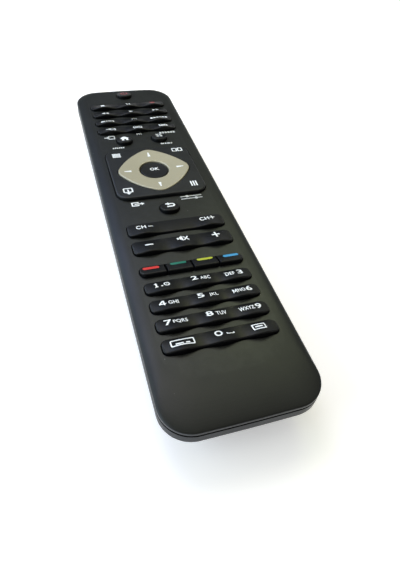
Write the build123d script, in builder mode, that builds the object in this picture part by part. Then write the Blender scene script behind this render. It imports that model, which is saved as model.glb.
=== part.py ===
from build123d import *
import math
import os

# A hand-held television remote control.
# Frame: +X across, +Y towards the infrared end, +Z up through the keys.
# The origin is the middle of the flat belly that it rests on. Sizes are in millimetres.

os.makedirs("parts", exist_ok=True)

# Case, overall
case_length = 202.4
case_width = 50.5
case_height = 20.0
near_corner = 10.2
far_corner = 11.5
near_bow = 0.3
far_bow = 0.7
rim_height = 0.9
roll_inset = 5.5
near_roll_inset = 17.0
far_roll_inset = 4.3
roll_fullness = 2.6
roll_steps = 14

# Case, walls and seam
skin = 1.8
side_wall = 2.0
seam_drop = 2.3
seam_groove = 0.7
groove_depth = 0.5
lip_thickness = 0.8
lip_height = 1.5
lip_gap = 0.1
lip_relief = 1.0

# Belly: the underside tucks in from the straight band of the sides to a flat
band_depth = 6.0
side_tuck = 12.0
near_tuck = 18.0
far_tuck = 14.0
belly_corner = 9.0
floor = 1.8

# Rubber keypad and circuit board
board_depth = 5.0
board_thickness = 1.2
board_margin = 0.85
board_near = -82.0
board_far = 94.2
board_corner = 6.0
mat_thickness = 0.8
mat_margin = 0.5
key_travel = 0.8
pad_thickness = 0.1
pad_diameter = 4.2
boss_diameter = 4.0
boss_clearance = 0.05
flange_gap = 0.2
flange_thickness = 0.8
flange_reach = 0.8
key_gap = 0.35
key_round = 0.45
end_drop = 0.45
end_steps = ((0, 1.0), (0.3, 0.25), (1.0, 0))
rail_width = 0.9
rail_margin = 1.0
rocker_flange_half = 4.0

# Key strips: near edge of each slot and its depth, front to back
lobe_pitch = 13.0
strip_end_trim = 0.1
lobe_bulge = 0.3
lobe_lift = 2.2
waist_lift = 0.8
far_lift = 0.35
top_crown = 0.12
strip_near_corner = 2.3
strip_far_corner = 2.4
digit_depth = 6.2
digit_pitch = 8.13
digit_near = -51.85
wide_depth = 8.0
channel_near = -22.3
volume_near = -32.3
upper_depth = 6.2
upper_pitch = 8.1
upper_near = 53.4

# Four colour keys in one slot
colour_near = -43.3
colour_depth = 5.6
colour_gap = 0.6
colour_lift = 2.0
colour_corner = 2.2

# Single keys: centre, width, depth
single_lift = 1.9
single_corner = 3.7
power_place = (0.2, 92.9)
power_size = (8.2, 7.8)
power_boss = (0.2, 90.7)
home_place = (-8.1, 46.7)
app_place = (8.7, 46.9)
feature_size = (7.9, 8.0)
back_place = (0.2, -7.0)
back_size = (8.5, 7.6)

# Navigation: plate, ring and centre key
nav_y = 19.6
plate_slot_half = 19.5
plate_slot_depth = 38.4
plate_corner = 5.4
plate_lift = 1.5
plate_far_lift = 0.4
ring_corner = 16.3
ring_reach = 13.7
ring_tip_round = 5.0
ring_gap = 0.4
ring_rim_lift = 1.9
ring_inner_lift = 1.15
ok_radius = 6.0
ok_gap = 0.45
ok_lift = 0.95
ok_dish = 0.3
pivot_depth = 2.45
pivot_play = 0.05
pivot_radius = 0.5
ring_collar_outer = 12.0
ring_collar_inner = 7.4
plate_collar_inner = 17.0
collar_depth = 3.0
tilt_clearance = 0.6
plate_pivot = 17.7
plate_round = 0.6

# Battery box, cells and contacts
cell_diameter = 10.5
cell_length = 44.5
cell_nub_diameter = 3.8
cell_nub_length = 0.9
cell_round = 0.8
cell_gap = 0.2
cell_wall_gap = 0.4
cell_floor_gap = 0.3
contact_thickness = 0.4
contact_width = 8.0
contact_corner = 1.0
spring_length = 4.9
spring_wire = 0.6
spring_big = 3.6
spring_small = 2.2
box_near = -84.6
box_wall = 2.2
door_thickness = 1.6
door_half = 12.4
door_near = -86.5
door_far = -31.6
door_gap = 0.25
door_roof_gap = 0.15
tongue_reach = 1.0
tongue_low = 0.9
tongue_high = 1.5
tongue_gap = 0.12
tongue_inset = 3.0
rail_reach = 2.6
rail_height = 4.0
rib_first = 20.0
rib_pitch = 27.0
rib_length = 24.0
rib_width = 1.4
grip_count = 5
grip_pitch = 2.6
grip_width = 1.0
grip_depth = 0.4
grip_inset = 9.0

# Screws that hold the two shells together
screw_place = (10.5, -7.0)
screw_radius = 1.0
screw_fit = 0.05
screw_head_radius = 2.2
screw_head_height = 1.6
screw_head_gap = 0.3
screw_boss_gap = 0.1
screw_seat = 5.0
screw_tip_depth = 2.8
screw_boss_radius = 3.2
upper_boss_radius = 2.3
board_hole_gap = 0.5
recess_width = 0.6
recess_length = 2.6
recess_depth = 0.8

# Infrared sender at the far end
led_radius = 1.5
led_length = 4.8
led_dome = 1.2
led_collar_radius = 1.7
led_collar_length = 0.8
led_drop = 0.45
led_clearance = 0.3
lead_size = 0.5
lead_spacing = 1.27
lead_length = 3.4
window_half = 7.0
window_low_depth = 5.85
window_high_depth = 3.05
window_gap = 0.1
window_thickness = 1.5

# Small parts under the board
chip_size = 9.0
chip_height = 1.6
chip_y = 8.0
chip_leg = 1.0
chip_leg_pitch = 0.8
chip_leg_count = 9
chip_leg_width = 0.4
chip_leg_height = 0.8
resonator_size = (6.0, 3.0, 2.6)
resonator_corner = 0.9
resonator_place = (9.5, 24.0)
capacitor_radius = 2.5
capacitor_length = 7.0
capacitor_round = 0.7
capacitor_place = (-10.0, 30.0)
resistor_size = (1.6, 0.8, 0.5)
resistor_pitch = 3.0
resistor_count = 6
resistor_y = -1.5

# Levels and places that follow from the sizes above
ceiling = case_height - skin
seam = case_height - seam_drop
belly_height = case_height - band_depth
board_top = case_height - board_depth
board_bottom = board_top - board_thickness
mat_top = board_top + mat_thickness
boss_bottom = board_top + pad_thickness + key_travel + boss_clearance
flange_top = ceiling - flange_gap
flange_bottom = flange_top - flange_thickness
quarter = lobe_pitch / 4
strip_half = 6 * quarter - strip_end_trim
rail_x = max(strip_half + flange_reach, plate_slot_half + mat_margin) + rail_margin
board_width = 2 * (rail_x + rail_width / 2 + board_margin)
three_lobes = (-lobe_pitch, 0, lobe_pitch)
two_lobes = (-lobe_pitch, lobe_pitch)
pivot_level = case_height - pivot_depth
nav_underside = pivot_level + pivot_play
collar_top = case_height - collar_depth
screw_tip = case_height - screw_tip_depth
led_level = board_top - led_drop
window_low = case_height - window_low_depth
window_high = case_height - window_high_depth
box_length = cell_length + spring_length + 2 * contact_thickness
box_far = box_near + box_length
cell_x = (cell_diameter + cell_gap) / 2
box_half = cell_x + cell_diameter / 2 + cell_wall_gap
cell_axis = door_thickness + cell_floor_gap + cell_diameter / 2
box_roof = cell_axis + cell_diameter / 2 + cell_wall_gap
colour_width = (2 * (strip_half - key_gap) - 3 * colour_gap) / 4
colour_places = [(i - 1.5) * (colour_width + colour_gap) for i in range(4)]
corner_pad = 14.0
digit_strips = ["digits_1_2_3", "digits_4_5_6", "digits_7_8_9", "digit_0"]
upper_strips = ["stop_pause_record", "rewind_play_forward", "function_row", "input_row"]


def save(part, name):
    """Labels a finished piece and writes its file."""
    part.label = name
    export_step(part, f"parts/{name}.step")


def plan_outline(side, near, far, near_radius, far_radius):
    """Plan of the case, drawn in from its sides and ends: straight sides, ends bowed a little."""
    half = case_width / 2 - side
    low = -case_length / 2 + near
    high = case_length / 2 - far
    with BuildSketch() as outline:
        with BuildLine():
            Line((half, low + near_bow), (half, high - far_bow))
            ThreePointArc((half, high - far_bow), (0, high), (-half, high - far_bow))
            Line((-half, high - far_bow), (-half, low + near_bow))
            ThreePointArc((-half, low + near_bow), (0, low), (half, low + near_bow))
        make_face()
        fillet(outline.vertices().group_by(Axis.Y)[0], radius=near_radius)
        fillet(outline.vertices().group_by(Axis.Y)[-1], radius=far_radius)
    return outline.sketch


def case_outline(inset=0.0):
    """Plan of the case, drawn in evenly."""
    return plan_outline(inset, inset, inset, near_corner - inset, far_corner - inset)


def belly_outline(share, wall):
    """Plan of the belly: share runs from 0 at the straight band to 1 at the flat underneath."""
    near_radius = near_corner + (belly_corner - near_corner) * share - wall
    far_radius = far_corner + (belly_corner - far_corner) * share - wall
    near = near_tuck * share + wall
    far = far_tuck * share + wall
    return plan_outline(side_tuck * share + wall, near, far, near_radius, far_radius)


def belly_level(share, lowest):
    """Height of the belly's skin: steep under the band, then ever flatter."""
    return lowest + (belly_height - lowest) * (1 - share**0.75) ** 1.5


belly_shares = (0, 0.03, 0.12, 0.28, 0.5, 0.75, 1)


def roll_outline(turn):
    """Plan of the face where its edge has rolled over by an angle: 0 at the rim, 90 on top."""
    share = 1 - math.cos(turn)
    side = roll_inset * share
    near = near_roll_inset * share
    far = far_roll_inset * share
    return plan_outline(side, near, far, near_corner, far_corner - far)


def roll_level(turn):
    """Height of the face at that angle: a full, flat-topped quarter oval."""
    rise = math.sqrt(1 - math.cos(turn) ** roll_fullness)
    return seam + rim_height + (seam_drop - rim_height) * rise


def strip_outline(near, depth, lobes, gap=0.0):
    """Plan of a key strip or its slot, whose near edge swells a little at each lobe."""
    half = strip_half - gap
    low = near + gap
    high = near + depth - gap
    near_radius = strip_near_corner - gap
    far_radius = strip_far_corner - gap
    waists = [(a + b) / 2 for a, b in zip(lobes[:-1], lobes[1:])]
    waist_half = (lobes[1] - lobes[0]) / 2 - quarter
    with BuildSketch() as outline:
        with BuildLine():
            for x in lobes:
                middle = (x, low - lobe_bulge)
                ThreePointArc((x - quarter, low), middle, (x + quarter, low))
            for x in waists:
                middle = (x, low + lobe_bulge)
                ThreePointArc((x - waist_half, low), middle, (x + waist_half, low))
            Line((5 * quarter, low), (half - near_radius, low))
            CenterArc((half - near_radius, low + near_radius), near_radius, -90, 90)
            Line((half, low + near_radius), (half, high - far_radius))
            CenterArc((half - far_radius, high - far_radius), far_radius, 0, 90)
            Line((half - far_radius, high), (far_radius - half, high))
            CenterArc((far_radius - half, high - far_radius), far_radius, 90, 90)
            Line((-half, high - far_radius), (-half, low + near_radius))
            CenterArc((near_radius - half, low + near_radius), near_radius, 180, 90)
            Line((near_radius - half, low), (-5 * quarter, low))
        make_face()
    return outline.sketch


def rounded_box(place, size, corner, gap=0.0):
    """Plan of a single key or its slot."""
    with BuildSketch() as outline:
        with Locations(place):
            RectangleRounded(size[0] - 2 * gap, size[1] - 2 * gap, corner - gap)
    return outline.sketch


def ring_outline(gap=0.0):
    """Plan of the direction ring: a square on its corner, with swollen sides and round tips."""
    tip = ring_corner + gap
    reach = ring_reach + gap
    with BuildSketch() as outline:
        with BuildLine():
            for turn in range(4):
                a = math.radians(90 * turn)
                b = a + math.pi / 4
                c = a + math.pi / 2
                start = (tip * math.cos(a), nav_y + tip * math.sin(a))
                middle = (reach * math.cos(b), nav_y + reach * math.sin(b))
                end = (tip * math.cos(c), nav_y + tip * math.sin(c))
                ThreePointArc(start, middle, end)
        make_face()
        fillet(outline.vertices(), radius=ring_tip_round + gap)
    return outline.sketch


def colour_slot(gap=0.0):
    """Plan of the slot that the four colour keys share."""
    middle = colour_near + colour_depth / 2
    return rounded_box((0, middle), (2 * strip_half, colour_depth), colour_corner + key_gap, gap)


def plate_outline(gap=0.0):
    """Plan of the navigation plate or its opening."""
    return rounded_box((0, nav_y), (2 * plate_slot_half, plate_slot_depth), plate_corner, gap)


def slope_profile(near, far, near_level, far_level):
    """Side view of a key top that climbs from its far edge to a rounded near edge."""
    with BuildSketch() as profile:
        with BuildLine():
            crest = near + key_round
            Line((near, flange_bottom), (near, near_level - key_round))
            CenterArc((crest, near_level - key_round), key_round, 90, 90)
            crown = (near_level + far_level) / 2 + top_crown
            ThreePointArc((crest, near_level), ((crest + far) / 2, crown), (far, far_level))
            Line((far, far_level), (far, flange_bottom))
            Line((far, flange_bottom), (near, flange_bottom))
        make_face()
    return profile.sketch


def lobe_swell(x, lobes):
    """1 at the middle of a lobe and 0 at a waist."""
    between = min(abs(x - lobe) for lobe in lobes)
    return 0.5 * (1 + math.cos(2 * math.pi * min(between, lobe_pitch / 2) / lobe_pitch))


def strip_ends(near, depth, gap):
    """Plan that trims a strip's ends round and leaves its near edge alone."""
    half = strip_half - gap
    near_radius = strip_near_corner - gap
    with BuildSketch() as outline:
        with Locations((0, near + depth / 2)):
            RectangleRounded(2 * half, depth - 2 * gap, strip_far_corner - gap)
        with Locations((0, near)):
            Rectangle(2 * half, depth)
        for side in (-1, 1):
            with Locations((side * half, near + gap)):
                Rectangle(2 * near_radius, 2 * near_radius, mode=Mode.SUBTRACT)
            with Locations((side * (half - near_radius), near + gap + near_radius)):
                Circle(near_radius)
    return outline.sketch


def strip_key(near, depth, lobes, flange_half):
    """A key strip in one piece: wavy top, flange under the case and a boss under each lobe."""
    half = strip_half - key_gap
    stations = [(step * quarter, 0) for step in range(-5, 6)]
    ends = [(half - inward, share * end_drop) for inward, share in end_steps]
    stations = [(-x, drop) for x, drop in ends] + stations + [(x, drop) for x, drop in ends[::-1]]
    with BuildPart() as key:
        for x, drop in stations:
            swell = lobe_swell(x, lobes)
            top = case_height + waist_lift + (lobe_lift - waist_lift) * swell - drop
            low = near + key_gap + lobe_bulge * (1 - 2 * swell)
            with BuildSketch(Plane.YZ.offset(x)):
                add(slope_profile(low, near + depth - key_gap, top, case_height + far_lift))
        loft()
        with BuildSketch(Plane.XY.offset(flange_bottom)):
            add(strip_ends(near, depth, key_gap))
        extrude(amount=case_height, mode=Mode.INTERSECT)
        with BuildSketch(Plane.XY.offset(flange_bottom)):
            add(strip_outline(near, depth, lobes, key_gap - flange_reach))
            with Locations((0, near + depth / 2)):
                Rectangle(2 * flange_half, 3 * depth, mode=Mode.INTERSECT)
        extrude(amount=flange_thickness)
        with BuildSketch(Plane.XY.offset(boss_bottom)):
            with Locations(*[(x, near + depth / 2) for x in lobes]):
                Circle(boss_diameter / 2)
        extrude(amount=flange_bottom - boss_bottom)
    return key.part


def raised_key(plan, flange, near, far, lift, boss_place):
    """A small key: its plan raised to a sloping top, a flange under the case and one boss."""
    with BuildPart() as key:
        with BuildSketch(Plane.XY.offset(flange_bottom)):
            add(plan)
        extrude(amount=case_height)
        with BuildSketch(Plane.YZ):
            top = case_height + lift
            add(slope_profile(near - 2 * key_round, far, top, case_height + far_lift))
        extrude(amount=case_width, both=True, mode=Mode.INTERSECT)
        fillet(key.faces().sort_by(Axis.Z)[-1].edges(), radius=key_round)
        with BuildSketch(Plane.XY.offset(flange_bottom)):
            add(flange)
        extrude(amount=flange_thickness)
        with BuildSketch(Plane.XY.offset(boss_bottom)):
            with Locations(boss_place):
                Circle(boss_diameter / 2)
        extrude(amount=flange_bottom - boss_bottom)
    return key.part


def single_key(place, size, boss_place):
    """A key on its own, with round corners and a flange all round."""
    plan = rounded_box(place, size, single_corner, key_gap)
    flange = rounded_box(place, size, single_corner, key_gap - flange_reach)
    near = place[1] - size[1] / 2
    return raised_key(plan, flange, near, near + size[1], single_lift, boss_place)


def colour_key(x):
    """One of the four keys that share a slot: its flange reaches under the case front and back."""
    plans = []
    for gap in (key_gap, key_gap - flange_reach):
        with BuildSketch() as plan:
            add(colour_slot(gap))
            with Locations((x, colour_near + colour_depth / 2)):
                Rectangle(colour_width, 3 * colour_depth, mode=Mode.INTERSECT)
        plans.append(plan.sketch)
    place = (x, colour_near + colour_depth / 2)
    far = colour_near + colour_depth
    return raised_key(plans[0], plans[1], colour_near, far, colour_lift, place)


strips = []
for i, name in enumerate(upper_strips):
    strips.append((name, upper_near + (3 - i) * upper_pitch, upper_depth, three_lobes))
strips.append(("channel", channel_near, wide_depth, two_lobes))
strips.append(("volume", volume_near, wide_depth, three_lobes))
for i, name in enumerate(digit_strips):
    strips.append((name, digit_near - i * digit_pitch, digit_depth, three_lobes))

singles = [
    ("power", power_place, power_size, power_boss),
    ("home", home_place, feature_size, home_place),
    ("app", app_place, feature_size, app_place),
    ("back", back_place, back_size, back_place),
]

# Where the bosses press on the board: one contact under each
key_contacts = [(x, near + depth / 2) for _, near, depth, lobes in strips for x in lobes]
key_contacts += [boss_place for _, _, _, boss_place in singles]
key_contacts += [(x, colour_near + colour_depth / 2) for x in colour_places]
ring_pad = (ring_collar_outer + ring_collar_inner) / 2
nav_contacts = [(0, nav_y), (ring_pad, nav_y), (-ring_pad, nav_y)]
nav_contacts += [(0, nav_y + ring_pad), (0, nav_y - ring_pad)]
nav_contacts += [(sx * corner_pad, nav_y + sy * corner_pad) for sx in (-1, 1) for sy in (-1, 1)]
screw_places = [(side * screw_place[0], screw_place[1]) for side in (-1, 1)]

# Upper shell: the face with every key opening, its rim and its lip
with BuildPart() as upper_case:
    with BuildSketch(Plane.XY.offset(seam)):
        add(case_outline())
    extrude(amount=rim_height)
    for step in range(roll_steps + 1):
        turn = math.radians(90 * step / roll_steps)
        with BuildSketch(Plane.XY.offset(roll_level(turn))):
            add(roll_outline(turn))
    loft(ruled=True)
    with BuildSketch(Plane.XY.offset(seam)):
        add(case_outline(side_wall))
    extrude(amount=ceiling - seam, mode=Mode.SUBTRACT)
    with BuildSketch(Plane.XY.offset(seam - lip_height)):
        add(case_outline(side_wall - lip_thickness - lip_gap))
        add(case_outline(side_wall - lip_gap), mode=Mode.SUBTRACT)
        with Locations((0, case_length / 2)):
            Rectangle(2 * (window_half + lip_relief), 3 * far_corner, mode=Mode.SUBTRACT)
    extrude(amount=lip_height)
    with BuildSketch(Plane.XY.offset(mat_top)):
        for side in (-1, 1):
            with Locations((side * rail_x, (board_near + board_far) / 2)):
                Rectangle(rail_width, board_far - board_near - 2 * board_corner)
    extrude(amount=ceiling - mat_top)
    with BuildSketch(Plane.XY.offset(board_top + screw_boss_gap)):
        with Locations(*screw_places):
            Circle(upper_boss_radius)
    extrude(amount=ceiling - board_top - screw_boss_gap)
    with BuildSketch(Plane.XY.offset(board_top)):
        with Locations(*screw_places):
            Circle(screw_radius + screw_fit)
    extrude(amount=screw_tip + screw_head_gap - board_top, mode=Mode.SUBTRACT)
    with BuildSketch(Plane.XY.offset(ceiling)):
        for _, near, depth, lobes in strips:
            add(strip_outline(near, depth, lobes))
        for _, place, size, _ in singles:
            add(rounded_box(place, size, single_corner))
        add(colour_slot())
        add(plate_outline())
    extrude(amount=skin, mode=Mode.SUBTRACT)
save(upper_case.part, "upper_case")

# Lower shell: straight band, tucked belly, battery box, door rails and screw bosses
with BuildPart() as lower_case:
    for share in belly_shares:
        with BuildSketch(Plane.XY.offset(belly_level(share, 0))):
            add(belly_outline(share, 0))
    loft()
    with BuildSketch(Plane.XY.offset(belly_height)):
        add(case_outline())
    extrude(amount=seam - belly_height)
    for share in belly_shares:
        with BuildSketch(Plane.XY.offset(belly_level(share, floor))):
            add(belly_outline(share, side_wall))
    loft(mode=Mode.SUBTRACT)
    with BuildSketch(Plane.XY.offset(belly_height)):
        add(case_outline(side_wall))
    extrude(amount=seam - belly_height, mode=Mode.SUBTRACT)
    with BuildSketch(Plane.XY.offset(seam - lip_height - lip_gap)):
        add(case_outline(side_wall - lip_thickness - 2 * lip_gap))
    extrude(amount=lip_height + lip_gap, mode=Mode.SUBTRACT)
    with BuildSketch(Plane.XY.offset(seam - seam_groove)):
        add(case_outline())
        add(case_outline(groove_depth), mode=Mode.SUBTRACT)
    extrude(amount=seam_groove, mode=Mode.SUBTRACT)
    with BuildSketch(Plane.XY.offset(floor / 2)):
        with Locations((0, (box_near + box_far) / 2)):
            Rectangle(2 * (box_half + box_wall), box_length + 2 * box_wall)
    extrude(amount=board_bottom - floor / 2)
    with BuildSketch(Plane.XY.offset(floor / 2)):
        with Locations((0, (door_near + door_far) / 2)):
            Rectangle(2 * (door_half + rail_reach), door_far - door_near)
    extrude(amount=rail_height - floor / 2)
    with BuildSketch(Plane.XY.offset(floor / 2)):
        for y in (rib_first, rib_first + rib_pitch, rib_first + 2 * rib_pitch):
            with Locations((0, y)):
                Rectangle(rib_length, rib_width)
        with Locations(*screw_places):
            Circle(screw_boss_radius)
    extrude(amount=board_bottom - floor / 2)
    with BuildSketch(Plane.XY):
        with Locations((0, (box_near + box_far) / 2)):
            Rectangle(2 * box_half, box_length)
    extrude(amount=box_roof, mode=Mode.SUBTRACT)
    with BuildSketch(Plane.XY):
        with Locations((0, (door_near - near_tuck + door_far + door_gap) / 2)):
            Rectangle(2 * (door_half + door_gap), door_far + door_gap - door_near + near_tuck)
    extrude(amount=door_thickness + door_roof_gap, mode=Mode.SUBTRACT)
    with BuildSketch(Plane.XY.offset(tongue_low - tongue_gap)):
        with Locations((0, (door_near - near_tuck + door_far - tongue_inset + door_gap) / 2)):
            groove_length = door_far - tongue_inset + door_gap - door_near + near_tuck
            Rectangle(2 * (door_half + tongue_reach + tongue_gap), groove_length)
    extrude(amount=tongue_high - tongue_low + 2 * tongue_gap, mode=Mode.SUBTRACT)
    with BuildSketch(Plane.XY):
        with Locations(*screw_places):
            Circle(screw_head_radius + screw_head_gap)
    extrude(amount=screw_seat, mode=Mode.SUBTRACT)
    with BuildSketch(Plane.XY):
        with Locations(*screw_places):
            Circle(screw_radius + screw_head_gap)
    extrude(amount=board_bottom, mode=Mode.SUBTRACT)
    with BuildSketch(Plane.XY.offset(window_low - window_gap)):
        with Locations((0, case_length / 2)):
            Rectangle(2 * (window_half + window_gap), 3 * side_wall)
    extrude(amount=window_high - window_low + 2 * window_gap, mode=Mode.SUBTRACT)
save(lower_case.part, "lower_case")

# Battery door: flush with the belly, with a tongue along each side and thumb grooves
with BuildPart() as battery_door:
    for share in belly_shares:
        with BuildSketch(Plane.XY.offset(belly_level(share, 0))):
            add(belly_outline(share, 0))
    loft()
    with BuildSketch(Plane.XY):
        with Locations((0, (door_near + door_far) / 2)):
            Rectangle(2 * door_half, door_far - door_near)
    extrude(amount=door_thickness, mode=Mode.INTERSECT)
    with BuildSketch(Plane.XY.offset(tongue_low)):
        with Locations((0, (door_near + door_far) / 2)):
            Rectangle(2 * (door_half + tongue_reach), door_far - door_near - 2 * tongue_inset)
    extrude(amount=tongue_high - tongue_low)
    with BuildSketch(Plane.XY):
        with Locations((0, door_far - grip_inset)):
            with GridLocations(0, grip_pitch, 1, grip_count):
                SlotOverall(door_half, grip_width)
    extrude(amount=grip_depth, mode=Mode.SUBTRACT)
save(battery_door.part, "battery_door")

# Infrared window: a smoked strip let into the far end of the lower shell
with BuildPart() as ir_window:
    with BuildSketch(Plane.XY.offset(window_low)):
        add(case_outline(window_gap))
        add(case_outline(window_gap + window_thickness), mode=Mode.SUBTRACT)
        with Locations((0, case_length / 2)):
            Rectangle(2 * window_half, 4 * side_wall, mode=Mode.INTERSECT)
    extrude(amount=window_high - window_low)
save(ir_window.part, "ir_window")

# Circuit board with its corners cut round and a hole for each screw boss
with BuildPart() as circuit_board:
    with BuildSketch(Plane.XY.offset(board_bottom)):
        with Locations((0, (board_near + board_far) / 2)):
            RectangleRounded(board_width, board_far - board_near, board_corner)
        with Locations(*screw_places):
            Circle(screw_radius + board_hole_gap, mode=Mode.SUBTRACT)
    extrude(amount=board_thickness)
save(circuit_board.part, "circuit_board")

# Printed contacts on the board, one under each boss
with BuildPart() as contact_pads:
    with BuildSketch(Plane.XY.offset(board_top)):
        with Locations(*(key_contacts + nav_contacts)):
            Circle(pad_diameter / 2)
    extrude(amount=pad_thickness)
save(contact_pads.part, "contact_pads")

# Rubber keypad mat: one sheet with a hole round each boss and one for the navigation block
with BuildPart() as keypad_mat:
    with BuildSketch(Plane.XY.offset(board_top)):
        with Locations((0, (board_near + board_far) / 2)):
            size = (board_width - 2 * mat_margin, board_far - board_near - 2 * mat_margin)
            RectangleRounded(size[0], size[1], board_corner - mat_margin)
        with Locations(*key_contacts):
            Circle(pad_diameter / 2 + mat_margin, mode=Mode.SUBTRACT)
        with Locations(*screw_places):
            Circle(upper_boss_radius + mat_margin, mode=Mode.SUBTRACT)
        add(plate_outline(-mat_margin), mode=Mode.SUBTRACT)
    extrude(amount=mat_thickness)
save(keypad_mat.part, "keypad_mat")

# Parts soldered under the board
with BuildPart() as controller_chip:
    with BuildSketch(Plane.XY.offset(board_bottom)):
        with Locations((0, chip_y)):
            Rectangle(chip_size, chip_size)
    extrude(amount=-chip_height)
    with BuildSketch(Plane.XY.offset(board_bottom)):
        for turn in (0, 90):
            with Locations(Location((0, chip_y, 0), turn)):
                with GridLocations(chip_size + chip_leg, chip_leg_pitch, 2, chip_leg_count):
                    Rectangle(chip_leg, chip_leg_width)
    extrude(amount=-chip_leg_height)
save(controller_chip.part, "controller_chip")

with BuildPart() as resonator:
    with BuildSketch(Plane.XY.offset(board_bottom)):
        with Locations(resonator_place):
            RectangleRounded(resonator_size[0], resonator_size[1], resonator_corner)
    extrude(amount=-resonator_size[2])
save(resonator.part, "resonator")

with BuildPart() as capacitor:
    middle = Plane.XZ.offset(-capacitor_place[1] - capacitor_length / 2)
    with BuildSketch(middle):
        with Locations((capacitor_place[0], board_bottom - capacitor_radius)):
            Circle(capacitor_radius)
    extrude(amount=capacitor_length)
    fillet(capacitor.edges().filter_by(GeomType.CIRCLE), radius=capacitor_round)
save(capacitor.part, "capacitor")

with BuildPart() as resistors:
    with BuildSketch(Plane.XY.offset(board_bottom)):
        with Locations((0, resistor_y)):
            with GridLocations(resistor_pitch, 0, resistor_count, 1):
                Rectangle(resistor_size[1], resistor_size[0])
    extrude(amount=-resistor_size[2])
save(resistors.part, "resistors")

# Infrared sender: a domed body with a collar, and its two straight leads under the board
led_back = board_far + led_clearance
with BuildPart() as ir_led:
    with BuildSketch(Plane.XZ.offset(-led_back)):
        with Locations((0, led_level)):
            Circle(led_collar_radius)
    extrude(amount=-led_collar_length)
    with BuildSketch(Plane.XZ.offset(-led_back)):
        with Locations((0, led_level)):
            Circle(led_radius)
    extrude(amount=-led_length)
    fillet(ir_led.faces().sort_by(Axis.Y)[-1].edges(), radius=led_dome)
save(ir_led.part, "ir_led")

with BuildPart() as ir_led_leads:
    with BuildSketch(Plane.XZ.offset(-led_back)):
        for side in (-1, 1):
            with Locations((side * lead_spacing, board_bottom - lead_size / 2)):
                Rectangle(lead_size, lead_size)
    extrude(amount=lead_length)
save(ir_led_leads.part, "ir_led_leads")

# Battery cells lie head to tail: a steel can with a button at one end
can_length = cell_length - cell_nub_length
for name, side in (("left", -1), ("right", 1)):
    can_near = box_near + contact_thickness + (spring_length if side < 0 else cell_nub_length)
    nub_near = can_near + can_length if side < 0 else can_near - cell_nub_length
    with BuildPart() as cell:
        with BuildSketch(Plane.XZ.offset(-can_near)):
            with Locations((side * cell_x, cell_axis)):
                Circle(cell_diameter / 2)
        extrude(amount=-can_length)
        fillet(cell.edges().filter_by(GeomType.CIRCLE), radius=cell_round)
        with BuildSketch(Plane.XZ.offset(-nub_near)):
            with Locations((side * cell_x, cell_axis)):
                Circle(cell_nub_diameter / 2)
        extrude(amount=-cell_nub_length)
    save(cell.part, f"battery_cell_{name}")

# Contacts: one plate links both cells at the near end, two plates end the pair at the far end
plates = [
    ("link_contact", 0, box_near, 2 * cell_x + contact_width),
    ("positive_contact", -cell_x, box_far - contact_thickness, contact_width),
    ("negative_contact", cell_x, box_far - contact_thickness, contact_width),
]
for name, x, near, width in plates:
    with BuildPart() as plate:
        with BuildSketch(Plane.XZ.offset(-near)):
            with Locations((x, cell_axis)):
                RectangleRounded(width, contact_width, contact_corner)
        extrude(amount=-contact_thickness)
    save(plate.part, name)

# Contact springs, each a tapered sleeve here: wide on its plate, narrow on its cell
with BuildPart() as contact_springs:
    for side in (-1, 1):
        base = box_near + contact_thickness if side < 0 else box_far - contact_thickness
        for step, radius in ((0, spring_big), (1, spring_small)):
            with BuildSketch(Plane.XZ.offset(-(base - side * step * spring_length))):
                with Locations((side * cell_x, cell_axis)):
                    Circle(radius)
                    Circle(radius - spring_wire, mode=Mode.SUBTRACT)
        loft()
save(contact_springs.part, "contact_springs")

# Screws, driven up from the belly into the upper shell
with BuildPart() as case_screws:
    with BuildSketch(Plane.XY.offset(screw_seat)):
        with Locations(*screw_places):
            Circle(screw_head_radius)
    extrude(amount=-screw_head_height)
    with BuildSketch(Plane.XY.offset(screw_seat)):
        with Locations(*screw_places):
            Circle(screw_radius)
    extrude(amount=screw_tip - screw_seat)
    with BuildSketch(Plane.XY.offset(screw_seat - screw_head_height)):
        with Locations(*screw_places):
            Rectangle(recess_width, recess_length)
            Rectangle(recess_length, recess_width)
    extrude(amount=recess_depth, mode=Mode.SUBTRACT)
save(case_screws.part, "case_screws")

# Key strips, single keys and colour keys
for name, near, depth, lobes in strips:
    flange_half = rocker_flange_half if len(lobes) == 2 else case_width
    save(strip_key(near, depth, lobes, flange_half), f"{name}_key")
for name, place, size, boss_place in singles:
    save(single_key(place, size, boss_place), f"{name}_key")
for name, x in zip(("red", "green", "yellow", "blue"), colour_places):
    save(colour_key(x), f"{name}_key")

# Navigation plate: a rounded square that climbs towards the user, open for the ring
with BuildPart() as nav_plate:
    with BuildSketch(Plane.XY.offset(nav_underside)):
        add(plate_outline(key_gap))
    extrude(amount=case_height)
    with BuildSketch(Plane.YZ):
        near = nav_y - plate_slot_half - 2 * key_round
        far = nav_y + plate_slot_half
        add(slope_profile(near, far, case_height + plate_lift, case_height + plate_far_lift))
    extrude(amount=case_width, both=True, mode=Mode.INTERSECT)
    fillet(nav_plate.faces().sort_by(Axis.Z)[-1].edges(), radius=plate_round)
    with BuildSketch(Plane.XY.offset(nav_underside)):
        add(ring_outline(ring_gap))
    extrude(amount=case_height, mode=Mode.SUBTRACT)
save(nav_plate.part, "nav_plate")

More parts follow.
